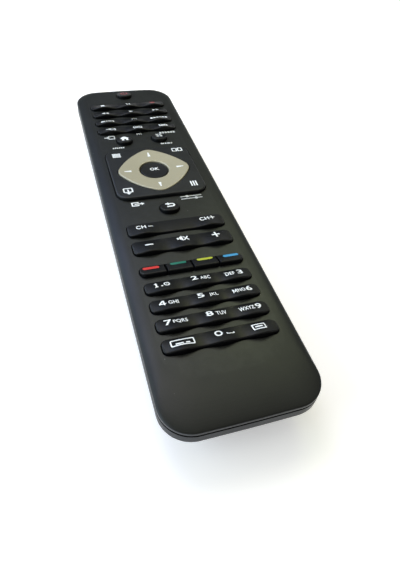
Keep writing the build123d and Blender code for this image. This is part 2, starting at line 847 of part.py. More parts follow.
# Direction ring: dished towards the centre key
ring_inner = ok_radius + ok_gap
with BuildPart() as direction_ring:
    with BuildSketch(Plane.XZ.offset(-nav_y)):
        with BuildLine():
            rim = ring_corner + ring_tip_round
            rim_level = case_height + ring_rim_lift
            inner_level = case_height + ring_inner_lift
            Line((ring_inner, nav_underside), (rim, nav_underside))
            Line((rim, nav_underside), (rim, rim_level))
            Line((rim, rim_level), (ring_inner, inner_level))
            Line((ring_inner, inner_level), (ring_inner, nav_underside))
        make_face()
    revolve(axis=Axis((0, nav_y, 0), (0, 0, 1)))
    with BuildSketch(Plane.XY.offset(nav_underside)):
        add(ring_outline())
    extrude(amount=case_height, mode=Mode.INTERSECT)
    fillet(direction_ring.faces().sort_by(Axis.Z)[-1].edges(), radius=key_round)
save(direction_ring.part, "direction_ring")

# Rubber collars under the ring and the plate: each rocks one way, and its pivots let what it
# carries rock the other way
with BuildPart() as ring_collar:
    with BuildSketch(Plane.XY.offset(boss_bottom)):
        with Locations((0, nav_y)):
            Circle(ring_collar_outer)
            Circle(ring_collar_inner, mode=Mode.SUBTRACT)
    extrude(amount=collar_top - boss_bottom)
    with BuildSketch(Plane.XY.offset(collar_top)):
        with Locations((ring_pad, nav_y), (-ring_pad, nav_y)):
            Circle(pivot_radius)
    extrude(amount=pivot_level - collar_top)
save(ring_collar.part, "ring_collar")

with BuildPart() as plate_collar:
    with BuildSketch(Plane.XY.offset(boss_bottom)):
        add(plate_outline(key_gap + tilt_clearance))
        with Locations((0, nav_y)):
            Circle(plate_collar_inner, mode=Mode.SUBTRACT)
    extrude(amount=collar_top - boss_bottom)
    with BuildSketch(Plane.XY.offset(collar_top)):
        with Locations((plate_pivot, nav_y), (-plate_pivot, nav_y)):
            Circle(pivot_radius)
    extrude(amount=pivot_level - collar_top)
save(plate_collar.part, "plate_collar")

# Centre key: a shallow dished disc
with BuildPart() as ok_key:
    with BuildSketch(Plane.XY.offset(flange_bottom)):
        with Locations((0, nav_y)):
            Circle(ok_radius)
    extrude(amount=case_height + ok_lift - flange_bottom)
    fillet(ok_key.faces().sort_by(Axis.Z)[-1].edges(), radius=key_round)
    dish_radius = (ok_radius**2 + ok_dish**2) / (2 * ok_dish)
    with Locations((0, nav_y, case_height + ok_lift - ok_dish + dish_radius)):
        Sphere(dish_radius, mode=Mode.SUBTRACT)
    with BuildSketch(Plane.XY.offset(boss_bottom)):
        with Locations((0, nav_y)):
            Circle(boss_diameter / 2)
    extrude(amount=flange_bottom - boss_bottom)
save(ok_key.part, "ok_key")
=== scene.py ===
# %% [markdown]
# A television remote control, dressed for its portrait.
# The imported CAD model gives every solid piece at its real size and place. This lesson adds what
# a CAD model has not got: finishes, printed signs, wound springs, soft light and a camera.
# Lengths that a maker would write in millimetres are written so here, and turned into metres
# with MM where they are used.

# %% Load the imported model
import math

import bmesh
import bpy
from mathutils import Matrix, Vector
from mathutils.bvhtree import BVHTree


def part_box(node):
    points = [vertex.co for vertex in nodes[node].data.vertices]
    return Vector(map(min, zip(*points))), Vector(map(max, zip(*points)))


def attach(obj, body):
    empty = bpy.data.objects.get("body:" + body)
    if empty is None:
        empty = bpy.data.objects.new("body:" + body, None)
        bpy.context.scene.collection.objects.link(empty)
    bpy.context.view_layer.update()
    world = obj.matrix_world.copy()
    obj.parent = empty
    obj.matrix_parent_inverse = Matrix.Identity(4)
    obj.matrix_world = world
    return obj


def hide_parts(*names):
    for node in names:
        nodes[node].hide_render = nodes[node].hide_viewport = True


MM = 0.001
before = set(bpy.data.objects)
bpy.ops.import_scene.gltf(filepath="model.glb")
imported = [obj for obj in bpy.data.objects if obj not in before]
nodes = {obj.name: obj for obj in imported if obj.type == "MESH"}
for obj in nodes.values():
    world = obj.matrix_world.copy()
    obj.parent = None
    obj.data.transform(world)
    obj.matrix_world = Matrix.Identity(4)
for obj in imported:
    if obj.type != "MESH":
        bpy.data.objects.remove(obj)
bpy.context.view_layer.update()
scene = bpy.context.scene
scene.view_settings.view_transform = "Standard"

# %% [markdown]
# The camera comes first, because every later choice is judged through it. It stands in front of
# the near end, a little to the left, and looks down at about 47 degrees. Three angles turn a
# plain forward view into that one: azimuth, then elevation, then a small roll of the hand. The
# lens is given as its focal length over the picture's long side.

# %% Camera
FOCAL_LENGTHS = 454.8 / 570
CAMERA_PLACE = Vector((-39.62, -149.60, 134.88)) * MM
AZIMUTH, ELEVATION, ROLL = (math.radians(a) for a in (21.7, 47.07, 6.44))
forward = Vector((math.sin(AZIMUTH) * math.cos(ELEVATION),
                  math.cos(AZIMUTH) * math.cos(ELEVATION), -math.sin(ELEVATION)))
level_right = forward.cross(Vector((0, 0, 1))).normalized()
level_up = level_right.cross(forward)
right = math.cos(ROLL) * level_right + math.sin(ROLL) * level_up
up = math.cos(ROLL) * level_up - math.sin(ROLL) * level_right
lens = bpy.data.cameras.new("camera")
lens.lens = lens.sensor_width * FOCAL_LENGTHS
lens.clip_start = 0.01
camera = bpy.data.objects.new("camera", lens)
scene.collection.objects.link(camera)
turn = Matrix((right, up, -forward)).transposed().to_4x4()
camera.matrix_world = Matrix.Translation(CAMERA_PLACE) @ turn
scene.camera = camera
print("lens:", round(lens.lens, 2), "mm")

# %% [markdown]
# The sky, the floor and every finish are node trees, and the same few steps come back in all of
# them: feed a socket, stretch a value, do a sum, mix two colours. A helper for each makes the
# trees below read like short recipes. Where a helper takes a value, it takes a plain number, a
# colour or another socket.

# %% Node helpers


def feed(tree, socket, value):
    """Sets a socket to a number or to a colour of three numbers, or links another socket to it."""
    if isinstance(value, bpy.types.NodeSocket):
        tree.links.new(value, socket)
    elif isinstance(value, tuple):
        socket.default_value = (*value, 1)
    else:
        socket.default_value = value


def remap(tree, value, low, high, to_low=0.0, to_high=1.0, smooth=False):
    """Stretches the part low..high of a value to to_low..to_high, and clamps."""
    node = tree.nodes.new("ShaderNodeMapRange")
    if smooth:
        node.interpolation_type = "SMOOTHSTEP"
    given = {"Value": value, "From Min": low, "From Max": high, "To Min": to_low, "To Max": to_high}
    for label, number in given.items():
        feed(tree, node.inputs[label], number)
    return node.outputs[0]


def combine(tree, operation, a, b):
    """A math node on two values."""
    node = tree.nodes.new("ShaderNodeMath")
    node.operation = operation
    feed(tree, node.inputs[0], a)
    feed(tree, node.inputs[1], b)
    return node.outputs[0]


def blend_colours(tree, mask, first, second):
    """Goes from the first colour to the second as a mask goes from 0 to 1."""
    node = tree.nodes.new("ShaderNodeMix")
    node.data_type = "RGBA"
    for index, value in ((0, mask), (6, first), (7, second)):
        feed(tree, node.inputs[index], value)
    return node.outputs[2]


def axes(tree, vector):
    """The outputs X, Y and Z that a vector socket splits into."""
    node = tree.nodes.new("ShaderNodeSeparateXYZ")
    tree.links.new(vector, node.inputs[0])
    return node.outputs


def white_rays(tree, path, glossy):
    """1 for rays that should find white: from the camera, through clear pieces, and glossy ones."""
    direct = combine(tree, "MAXIMUM", path.outputs["Is Camera Ray"], path.outputs["Is Transmission Ray"])
    return combine(tree, "MAXIMUM", direct, glossy)


print("node helpers ready")

# %% [markdown]
# Dark satin plastic shows mostly what it reflects, so the room around it sets the tone of the
# case more than any lamp does. Here the room is a light tent, bright overhead and dimmer and
# cooler towards the horizon: the far end of the case, seen at a flat angle, mirrors the low
# part and stays dark, as in the portrait. The side behind the camera is dark as well, which
# keeps the near walls of the keys black.

# %% Tent of light
TENT_LOW = (0.085, 0.11, 0.16)
TENT_HIGH = (0.70, 0.68, 0.58)
TENT_CLIMB = (0.32, 0.8)
NEAR_SIDE, NEAR_FADE = 0.22, (-0.75, 0.05)
FAR_SIDE, FAR_FADE = 0.35, (0.7, 0.95)
world = bpy.data.worlds.new("tent")
scene.world = world
world.use_nodes = True
sky = world.node_tree
sky.nodes.clear()
direction = axes(sky, sky.nodes.new("ShaderNodeTexCoord").outputs["Generated"])
climb = remap(sky, direction["Z"], *TENT_CLIMB, smooth=True)
behind = remap(sky, direction["Y"], *NEAR_FADE, NEAR_SIDE, smooth=True)
beyond = remap(sky, direction["Y"], *FAR_FADE, 1.0, FAR_SIDE)
tent = sky.nodes.new("ShaderNodeBackground")
feed(sky, tent.inputs["Color"], blend_colours(sky, climb, TENT_LOW, TENT_HIGH))
feed(sky, tent.inputs["Strength"], combine(sky, "MULTIPLY", behind, beyond))
print("tent from", TENT_LOW, "to", TENT_HIGH)

# %% [markdown]
# The tent lights the object, but nobody should see it. The camera, and anything seen through a
# clear piece, finds plain white behind the object instead, and so does a reflection of the
# lowest strip of the background. Light Path tells these rays apart.

# %% White backdrop
BACKDROP_TOP = 0.12
sky_path = sky.nodes.new("ShaderNodeLightPath")
low_strip = combine(sky, "LESS_THAN", direction["Z"], BACKDROP_TOP)
mirrored = combine(sky, "MULTIPLY", sky_path.outputs["Is Glossy Ray"], low_strip)
backdrop = sky.nodes.new("ShaderNodeBackground")
feed(sky, backdrop.inputs["Color"], (1, 1, 1))
choose = sky.nodes.new("ShaderNodeMixShader")
feed(sky, choose.inputs[0], white_rays(sky, sky_path, mirrored))
feed(sky, choose.inputs[1], tent.outputs[0])
feed(sky, choose.inputs[2], backdrop.outputs[0])
feed(sky, sky.nodes.new("ShaderNodeOutputWorld").inputs["Surface"], choose.outputs[0])
print("backdrop is white to the camera")

# %% [markdown]
# Five soft lamps add the sheen, each placed where the satin skin mirrors it to the camera. A warm
# one, high over the far end, brightens the near left of the face. Three cool ones on the left do
# the same for the left of the face, the rolled edge and the side wall. A faintly green one beyond
# the far right corner makes the patch beside the numbers. Wide square lamps keep every one of
# these patches soft.

# %% Lamps


def softbox(name, place, aim, size, power, colour):
    """A square area lamp at place, facing aim; lengths in millimetres."""
    lamp = bpy.data.lights.new(name, "AREA")
    lamp.size = size * MM
    lamp.energy = power
    lamp.color = colour
    holder = bpy.data.objects.new(name, lamp)
    scene.collection.objects.link(holder)
    holder.location = Vector(place) * MM
    holder.rotation_mode = "QUATERNION"
    holder.rotation_quaternion = (Vector(aim) * MM - holder.location).to_track_quat("-Z", "Y")


softbox("lamp_top", (-42, 155, 407), (-15, -60, 20), 220, 0.51, (1.0, 0.93, 0.80))
softbox("lamp_far_left", (-132, 307, 446), (-20, -40, 20), 300, 0.91, (0.30, 0.46, 1.0))
softbox("lamp_edge", (-380, 360, 270), (-22, -30, 18), 300, 0.9, (0.62, 0.79, 1.0))
softbox("lamp_left", (-480, -40, 240), (-20, -20, 0), 380, 2.3, (0.66, 0.82, 1.0))
softbox("lamp_right", (190, 200, 370), (15, -60, 20), 170, 0.34, (0.87, 1.0, 0.57))

# %% [markdown]
# The floor is matt white paper. Its own colour takes the soft shadow under the tucked-in belly;
# a little glow lifts it to pure white, a little more of it far out where the lamps fade. Only the
# camera and clear or shiny surfaces see that glow, so the object gets no extra light from it.

# %% Floor
FLOOR_HALF = 3.0
FLOOR_DROP = 0.02
PAPER = (0.87, 0.835, 0.795)
GLOW = (0.42, 0.9)
GLOW_REACH = (0.25, 1.0)
floor_mesh = bpy.data.meshes.new("floor")
corners = [(x * FLOOR_HALF, y * FLOOR_HALF, 0) for x, y in ((-1, -1), (1, -1), (1, 1), (-1, 1))]
floor_mesh.from_pydata(corners, [], [(0, 1, 2, 3)])
floor = bpy.data.objects.new("floor", floor_mesh)
scene.collection.objects.link(floor)
floor.location.z = -FLOOR_DROP * MM
paper = bpy.data.materials.new("white_paper")
paper.use_nodes = True
tree = paper.node_tree
shade = tree.nodes["Principled BSDF"]
feed(tree, shade.inputs["Base Color"], PAPER)
feed(tree, shade.inputs["Roughness"], 0.9)
feed(tree, shade.inputs["Specular IOR Level"], 0.1)
spread = tree.nodes.new("ShaderNodeVectorMath")
spread.operation = "LENGTH"
feed(tree, spread.inputs[0], tree.nodes.new("ShaderNodeTexCoord").outputs["Object"])
far_glow = remap(tree, spread.outputs["Value"], *GLOW_REACH, *GLOW)
look = tree.nodes.new("ShaderNodeLightPath")
shows = white_rays(tree, look, look.outputs["Is Glossy Ray"])
glow = tree.nodes.new("ShaderNodeEmission")
feed(tree, glow.inputs["Color"], (1, 1, 1))
feed(tree, glow.inputs["Strength"], combine(tree, "MULTIPLY", shows, far_glow))
both = tree.nodes.new("ShaderNodeAddShader")
feed(tree, both.inputs[0], shade.outputs[0])
feed(tree, both.inputs[1], glow.outputs[0])
feed(tree, tree.nodes["Material Output"].inputs["Surface"], both.outputs[0])
floor_mesh.materials.append(paper)
print("floor ready")

# %% [markdown]
# Four effects come back on many finishes, so each is built once as a node group with named
# inputs and outputs: the moulded grain of plastic and rubber, the film that fingers leave, fine
# dust, and the polish on worn edges. A group puts out only masks and heights; the shader itself
# stays in each material, where its plain numbers are easy to find.

# %% Helpers for the effect groups


def group(name, ins, outs):
    """An empty node group with float sockets; returns the tree and its two end nodes."""
    made = bpy.data.node_groups.new(name, "ShaderNodeTree")
    for label, value in ins:
        socket = made.interface.new_socket(label, in_out="INPUT", socket_type="NodeSocketFloat")
        socket.default_value = value
    for label in outs:
        made.interface.new_socket(label, in_out="OUTPUT", socket_type="NodeSocketFloat")
    return made, made.nodes.new("NodeGroupInput"), made.nodes.new("NodeGroupOutput")


def noise(tree, where, scale, detail=3.0, rough=0.6):
    """A noise texture at a place given by a socket."""
    node = tree.nodes.new("ShaderNodeTexNoise")
    given = {"Vector": where, "Scale": scale, "Detail": detail, "Roughness": rough}
    for label, value in given.items():
        feed(tree, node.inputs[label], value)
    return node.outputs["Fac"]


def place_socket(tree):
    """The piece's own coordinates, in metres."""
    return tree.nodes.new("ShaderNodeTexCoord").outputs["Object"]


print("group helpers ready")

# %% [markdown]
# The grain is what spark erosion leaves in the mould: packed soft pebbles with a finer noise on
# top. It gives a height for the bump, and spots where the tone may drift. The film is broader:
# patches where a finger has slid, broken up by streaks.

# %% Moulded grain and finger film
grain, g_in, g_out = group("moulded_grain", [("Scale", 3000), ("Depth", 1.0)], ["Height", "Spots"])
where = place_socket(grain)
pebble = grain.nodes.new("ShaderNodeTexVoronoi")
pebble.feature = "SMOOTH_F1"
feed(grain, pebble.inputs["Vector"], where)
feed(grain, pebble.inputs["Scale"], g_in.outputs["Scale"])
fine = noise(grain, where, combine(grain, "MULTIPLY", g_in.outputs["Scale"], 2.3))
mixed = combine(grain, "ADD", combine(grain, "MULTIPLY", pebble.outputs["Distance"], 0.7), fine)
feed(grain, g_out.inputs["Height"], combine(grain, "MULTIPLY", mixed, g_in.outputs["Depth"]))
feed(grain, g_out.inputs["Spots"], remap(grain, fine, 0.35, 0.65))

film, f_in, f_out = group("finger_film", [("Scale", 60), ("Amount", 1.0)], ["Mask"])
where = place_socket(film)
patches = remap(film, noise(film, where, f_in.outputs["Scale"], 4), 0.42, 0.66)
streaks = noise(film, where, combine(film, "MULTIPLY", f_in.outputs["Scale"], 9), 2)
smear = combine(film, "MULTIPLY", patches, remap(film, streaks, 0.3, 0.7, 0.5, 1.0))
feed(film, f_out.inputs["Mask"], combine(film, "MULTIPLY", smear, f_in.outputs["Amount"]))
print("grain and film ready")

# %% [markdown]
# Dust lies only on surfaces that face up, as small separate dots; most cells of the texture are
# left empty, so that the dots stay rare. Wear finds the sharp edges with Pointiness and breaks
# them up with noise, because no hand polishes an edge evenly.

# %% Fine dust and edge wear
dust, d_in, d_out = group("fine_dust", [("Scale", 420), ("Amount", 1.0)], ["Mask"])
speck = dust.nodes.new("ShaderNodeTexVoronoi")
feed(dust, speck.inputs["Vector"], place_socket(dust))
feed(dust, speck.inputs["Scale"], d_in.outputs["Scale"])
dots = remap(dust, speck.outputs["Distance"], 0.055, 0.035)
rare = dust.nodes.new("ShaderNodeSeparateColor")
feed(dust, rare.inputs[0], speck.outputs["Color"])
some = remap(dust, rare.outputs[0], 0.87, 0.92)
facing = axes(dust, dust.nodes.new("ShaderNodeNewGeometry").outputs["Normal"])
upward = remap(dust, facing["Z"], 0.5, 0.95)
fleck = combine(dust, "MULTIPLY", combine(dust, "MULTIPLY", dots, some), upward)
feed(dust, d_out.inputs["Mask"], combine(dust, "MULTIPLY", fleck, d_in.outputs["Amount"]))

wear, w_in, w_out = group("edge_wear", [("Scale", 300), ("Amount", 1.0)], ["Mask"])
sharp = remap(wear, wear.nodes.new("ShaderNodeNewGeometry").outputs["Pointiness"], 0.505, 0.54)
patchy = noise(wear, place_socket(wear), w_in.outputs["Scale"])
edge = combine(wear, "MULTIPLY", sharp, remap(wear, patchy, 0.35, 0.65, 0.3, 1.0))
feed(wear, w_out.inputs["Mask"], combine(wear, "MULTIPLY", edge, w_in.outputs["Amount"]))
print("effect groups:", sorted(g.name for g in bpy.data.node_groups))

# %% [markdown]
# A finish is a Principled shader fed by those masks. The helper below starts one: base colour
# that drifts a little between two tones, roughness that the finger film lowers and dust raises,
# edges that polish, and a bump from the grain. Each call states the real look in numbers.

# %% Finish helper
CLOUD_SCALE = 40
SPOT_SHARE = 0.35
FILM_POLISH = 0.12
EDGE_POLISH = 0.1
DUST_TONE = (0.42, 0.41, 0.39)
DUST_ROUGH = 0.3
GRAIN_DEPTH = 0.03


def place_group(tree, source, **values):
    """A node of one of the effect groups, with its inputs set."""
    node = tree.nodes.new("ShaderNodeGroup")
    node.node_tree = source
    for label, value in values.items():
        feed(tree, node.inputs[label], value)
    return node.outputs


def paler(tone, times, plus):
    """A tone made lighter by a factor and a small step."""
    return tuple(min(1.0, c * times + plus) for c in tone)


def finish(name, tones, rough=0.5, grain_size=0.3, bump=0.1, specks=0.0, film_on=0.3,
           worn=0.3, **plain):
    """A moulded or painted finish. tones are two base colours; plain sets shader sockets."""
    material = bpy.data.materials.new(name)
    material.use_nodes = True
    tree = material.node_tree
    shader = tree.nodes["Principled BSDF"]
    for label, value in plain.items():
        feed(tree, shader.inputs[label.replace("_", " ")], value)
    cloudy = remap(tree, noise(tree, place_socket(tree), CLOUD_SCALE, 3), 0.35, 0.65)
    colour = blend_colours(tree, cloudy, tones[0], tones[1])
    grained = place_group(tree, grain, Scale=1 / (grain_size * MM), Depth=1.0)
    spots = combine(tree, "MULTIPLY", grained["Spots"], SPOT_SHARE)
    colour = blend_colours(tree, spots, colour, paler(tones[1], 1.5, 0.004))
    touched = place_group(tree, film, Amount=film_on)["Mask"]
    rubbed = place_group(tree, wear, Amount=worn)["Mask"]
    colour = blend_colours(tree, rubbed, colour, paler(tones[1], 1.8, 0.01))
    roughness = combine(tree, "SUBTRACT", rough, combine(tree, "MULTIPLY", touched, FILM_POLISH))
    roughness = combine(tree, "SUBTRACT", roughness, combine(tree, "MULTIPLY", rubbed, EDGE_POLISH))
    if specks:
        flecks = place_group(tree, dust, Amount=specks)["Mask"]
        colour = blend_colours(tree, flecks, colour, DUST_TONE)
        roughness = combine(tree, "ADD", roughness, combine(tree, "MULTIPLY", flecks, DUST_ROUGH))
    raised = tree.nodes.new("ShaderNodeBump")
    feed(tree, raised.inputs["Strength"], bump)
    feed(tree, raised.inputs["Distance"], GRAIN_DEPTH * MM)
    feed(tree, raised.inputs["Height"], grained["Height"])
    feed(tree, shader.inputs["Base Color"], colour)
    feed(tree, shader.inputs["Roughness"], roughness)
    feed(tree, shader.inputs["Normal"], raised.outputs[0])
    return material


print("finish helper ready")

# %% [markdown]
# The real case is charcoal plastic with a very fine matt texture, olive in warm light and bluish
# in cool light. The keys are rubber with a smoother, darker skin. The ring is a painted
# silver-beige, the one pale piece. The sender's window at the far end is smoked and glossy.

# %% Outside finishes
case_plastic = finish("charcoal_case", ((0.0072, 0.0077, 0.0062), (0.0098, 0.0103, 0.0082)),
                      rough=0.4, grain_size=0.22, bump=0.35, specks=0.7, film_on=0.6,
                      Specular_IOR_Level=0.25)
belly_plastic = finish("charcoal_belly", ((0.0062, 0.0078, 0.0102), (0.0085, 0.0103, 0.013)),
                       rough=0.42, grain_size=0.22, bump=0.35, specks=0.5, film_on=0.6,
                       Specular_IOR_Level=0.25)
key_rubber = finish("key_rubber", ((0.0028, 0.0031, 0.004), (0.0042, 0.0045, 0.0056)),
                    rough=0.44, grain_size=0.35, bump=0.2, specks=0.5, film_on=0.8,
                    Specular_IOR_Level=0.23, Specular_Tint=(1.0, 0.95, 0.8))
plate_plastic = finish("plate_plastic", ((0.0062, 0.0066, 0.0066), (0.0085, 0.0088, 0.0084)),
                       rough=0.42, grain_size=0.25, bump=0.25, specks=0.5, film_on=0.7,
                       Specular_IOR_Level=0.28)
centre_plastic = finish("centre_plastic", ((0.0052, 0.0055, 0.006), (0.0072, 0.0074, 0.008)),
                        rough=0.38, grain_size=0.25, bump=0.15, specks=0.3, film_on=1.0,
                        Specular_IOR_Level=0.23)
ring_paint = finish("ring_paint", ((0.35, 0.313, 0.214), (0.373, 0.333, 0.227)),
                    rough=0.42, grain_size=0.12, bump=0.08, film_on=0.5, worn=0.15, Metallic=0.2)
smoked = finish("smoked_window", ((0.010, 0.004, 0.006), (0.014, 0.006, 0.008)),
                rough=0.08, grain_size=2.0, bump=0.02, film_on=0.6, Coat_Weight=0.6)
print("materials with the outside finishes:", len(bpy.data.materials))

# %% [markdown]
# Inside, the board is green lacquer with gold contacts, the mat grey rubber, the chips black
# epoxy, and the can, leads and battery contacts bright plated metal. Nobody sees them in the
# portrait, but a part that opens on a bench should look right there too.

# %% Inside finishes
mat_rubber = finish("mat_rubber", ((0.045, 0.045, 0.047), (0.06, 0.06, 0.062)),
                    rough=0.62, grain_size=0.4, bump=0.3)
board_green = finish("board_green", ((0.010, 0.075, 0.035), (0.014, 0.095, 0.045)),
                     rough=0.32, grain_size=0.8, bump=0.08, film_on=0.1, Coat_Weight=0.3)
pad_plating = finish("pad_plating", ((0.62, 0.44, 0.16), (0.7, 0.5, 0.2)),
                     rough=0.3, grain_size=0.2, bump=0.1, Metallic=1.0)
chip_epoxy = finish("chip_epoxy", ((0.012, 0.012, 0.013), (0.02, 0.02, 0.021)),
                    rough=0.55, grain_size=0.15, bump=0.3)
can_metal = finish("can_metal", ((0.55, 0.55, 0.57), (0.62, 0.62, 0.63)),
                   rough=0.3, grain_size=0.4, bump=0.08, Metallic=1.0)
sender_epoxy = finish("sender_epoxy", ((0.03, 0.02, 0.06), (0.045, 0.03, 0.08)),
                      rough=0.1, grain_size=2.0, bump=0.02, Coat_Weight=0.5)
nickel = finish("nickel_plate", ((0.56, 0.55, 0.52), (0.64, 0.63, 0.6)),
                rough=0.26, grain_size=0.3, bump=0.1, Metallic=1.0)
black_screw = finish("black_screw", ((0.05, 0.05, 0.052), (0.08, 0.08, 0.082)),
                     rough=0.34, grain_size=0.3, bump=0.1, Metallic=0.9)
print("materials with the inside finishes:", len(bpy.data.materials))

# %% [markdown]
# Seven inks print the signs: white, a dimmer grey for some pictures on the case and for one key,
# four clear colours for the bars of the colour keys, and a dull red for power and record. Screen
# ink is matt and even, so little more than the tone differs.

# %% Inks
INKS = {
    "red": (0.56, 0.035, 0.028), "green": (0.012, 0.135, 0.088), "yellow": (0.38, 0.40, 0.025),
    "blue": (0.045, 0.25, 0.44), "dull_red": (0.22, 0.02, 0.025),
}
inks = {label: finish(f"{label}_print", (tone, paler(tone, 1.12, 0.0)), rough=0.45, grain_size=0.15,
                      bump=0.05, film_on=0.2, worn=0.0) for label, tone in INKS.items()}
inks["white"] = finish("white_print", ((0.82, 0.82, 0.79), (0.88, 0.88, 0.85)),
                       rough=0.5, grain_size=0.15, bump=0.05, film_on=0.2, worn=0.0)
inks["grey"] = finish("grey_print", ((0.46, 0.46, 0.44), (0.54, 0.54, 0.515)),
                      rough=0.5, grain_size=0.15, bump=0.05, film_on=0.2, worn=0.0)
print("inks:", sorted(inks))

# %% [markdown]
# Where the two shells meet runs a narrow groove. Painted shade, a near-black band, makes it the
# darkest line on the case, and a painted highlight, a paler band, lies on the rim above it. Both are
# bands of height, so a mask from the piece's own Z lays them round the whole case at once.

# %% Painted shade in the seam and painted highlight on the rim
SEAM_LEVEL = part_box("lower_case")[1].z
# Painted shade: the near-black tone laid in the seam groove.
GROOVE_SHADE_TONE = (0.0003, 0.0003, 0.0004)
# Painted highlight: the paler tone laid on the rim just above the seam.
RIM_HIGHLIGHT_TONE = (0.024, 0.027, 0.031)


def painted_band(plastic, low, high, tone, rough):
    """A copy of a plastic with another tone and roughness between two heights from the seam: painted shade
    in the groove, painted highlight on the rim.
    """
    material = plastic.copy()
    tree = material.node_tree
    shader = tree.nodes["Principled BSDF"]
    height = axes(tree, place_socket(tree))["Z"]
    above = combine(tree, "GREATER_THAN", height, SEAM_LEVEL + low * MM)
    below = combine(tree, "LESS_THAN", height, SEAM_LEVEL + high * MM)
    band = combine(tree, "MULTIPLY", above, below)
    colour, roughness = shader.inputs["Base Color"], shader.inputs["Roughness"]
    feed(tree, colour, blend_colours(tree, band, colour.links[0].from_socket, tone))
    feed(tree, roughness, remap(tree, band, 0.0, 1.0, roughness.links[0].from_socket, rough))
    return material


# The lower shell gets the painted shade in its seam groove.
lower_plastic_painted_shade = painted_band(belly_plastic, -0.85, 1.0, GROOVE_SHADE_TONE, 0.95)
# The upper shell gets the painted highlight on its rim.
upper_plastic_painted_highlight = painted_band(case_plastic, 0.1, 1.0, RIM_HIGHLIGHT_TONE, 0.35)
print("seam at", round(SEAM_LEVEL / MM, 2), "mm")

# %% [markdown]
# A battery cell is a steel can in a printed sleeve: the sleeve stops short of both ends, a
# coloured band marks the button end, and bare plated steel shows beyond. One material can hold
# all of it, because each zone is only a stretch of the cell's own length.

# %% Battery cells
SLEEVE_START, BAND_START, SLEEVE_END = 0.02, 0.72, 0.965
BAND_TONE = (0.42, 0.25, 0.10)
STEEL_TONE = (0.6, 0.6, 0.58)


def cell_finish(name, low, high, button_far):
    """Sleeve, band and bare ends, by the share of the cell's length from its flat end."""
    material = finish(name, ((0.02, 0.022, 0.028), (0.03, 0.032, 0.038)), rough=0.3,
                      grain_size=0.5, bump=0.03, film_on=0.3, Coat_Weight=0.4)
    tree = material.node_tree
    shader = tree.nodes["Principled BSDF"]
    along = remap(tree, axes(tree, place_socket(tree))["Y"], low, high)
    if not button_far:
        along = combine(tree, "SUBTRACT", 1.0, along)
    band = combine(tree, "GREATER_THAN", along, BAND_START)
    colour = blend_colours(tree, band, shader.inputs["Base Color"].links[0].from_socket, BAND_TONE)
    bare = combine(tree, "ADD", combine(tree, "GREATER_THAN", along, SLEEVE_END),
                   combine(tree, "LESS_THAN", along, SLEEVE_START))
    feed(tree, shader.inputs["Base Color"], blend_colours(tree, bare, colour, STEEL_TONE))
    feed(tree, shader.inputs["Metallic"], bare)
    return material


cell_boxes = {side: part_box(f"battery_cell_{side}") for side in ("left", "right")}
cell_sleeves = {side: cell_finish(f"cell_sleeve_{side}", low.y, high.y, side == "left")
                for side, (low, high) in cell_boxes.items()}
print("cell finishes:", sorted(cell_sleeves))

# %% [markdown]
# Every solid piece now gets one finish, apart from the contact springs, which the next lesson
# winds anew. The CAD shapes stay exactly as they are: only the material slot of each changes.

# %% Give every solid piece its finish
# The shells wear the copies with the painted seam shade and the painted rim highlight.
WEARS = {
    "upper_case": upper_plastic_painted_highlight, "lower_case": lower_plastic_painted_shade, "battery_door": belly_plastic,
    "nav_plate": plate_plastic, "direction_ring": ring_paint, "ir_window": smoked,
    "keypad_mat": mat_rubber, "ring_collar": mat_rubber, "plate_collar": mat_rubber,
    "circuit_board": board_green, "contact_pads": pad_plating, "controller_chip": chip_epoxy,
    "resistors": chip_epoxy, "resonator": can_metal, "capacitor": can_metal, "ir_led": sender_epoxy,
    "ir_led_leads": nickel, "link_contact": nickel, "positive_contact": nickel,
    "negative_contact": nickel, "case_screws": black_screw,
    "battery_cell_left": cell_sleeves["left"], "battery_cell_right": cell_sleeves["right"],
}
WEARS.update({name: key_rubber for name in nodes if name.endswith("_key")})
WEARS["ok_key"] = centre_plastic
for name, material in WEARS.items():
    nodes[name].data.materials.clear()
    nodes[name].data.materials.append(material)
print("dressed:", len(WEARS), "of", len(nodes))

# %% [markdown]
# The battery contacts press on the cells through conical springs of nickel plated wire. The CAD
# model holds their place with plain tapered sleeves; here they are wound as they really are, a
# dead turn at the plate, open turns that narrow towards the cell, and a dead turn on the cell.
# A spiral of points, smoothed as one spline and given a round bevel, is wire in all but name.

# %% Wound contact springs
WIRE = 0.6
TURNS = 6
PER_TURN = 20
SPRING_LENGTH = 4.9
WIDE_RADIUS, NARROW_RADIUS = 3.3, 1.9


def spring_line(curve, centre, base, way):
    """Fills a curve with the spring's spiral along Y; base in metres, way is 1 or -1."""
    line = curve.splines.new("NURBS")
    count = TURNS * PER_TURN
    line.points.add(count)
    for i, point in enumerate(line.points):
        share = i / count
        climb = min(1, max(0, (share * TURNS - 1) / (TURNS - 2)))
        radius = (WIDE_RADIUS + (NARROW_RADIUS - WIDE_RADIUS) * climb) * MM
        angle = 2 * math.pi * share * TURNS
        advance = (WIRE / 2 + (SPRING_LENGTH - WIRE) * climb) * MM
        point.co = (centre.x + radius * math.cos(angle), base + way * advance,
                    centre.z + radius * math.sin(angle), 1)
    line.order_u = 4
    line.use_endpoint_u = True


def wound_spring(name, centre, base, way):
    """A conical wire spring that stands in for its CAD sleeve."""
    curve = bpy.data.curves.new(name, "CURVE")
    curve.dimensions = "3D"
    curve.bevel_depth = WIRE / 2 * MM
    curve.bevel_resolution = 4
    curve.use_fill_caps = True
    spring_line(curve, centre, base, way)
    holder = bpy.data.objects.new(name, curve)
    mesh = bpy.data.meshes.new_from_object(holder)
    bpy.data.objects.remove(holder)
    mesh.materials.append(nickel)
    for face in mesh.polygons:
        face.use_smooth = True
    spring = bpy.data.objects.new(name, mesh)
    scene.collection.objects.link(spring)
    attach(spring, "case")
    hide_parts("contact_springs")
    print(name, "wire of", len(mesh.polygons), "faces")


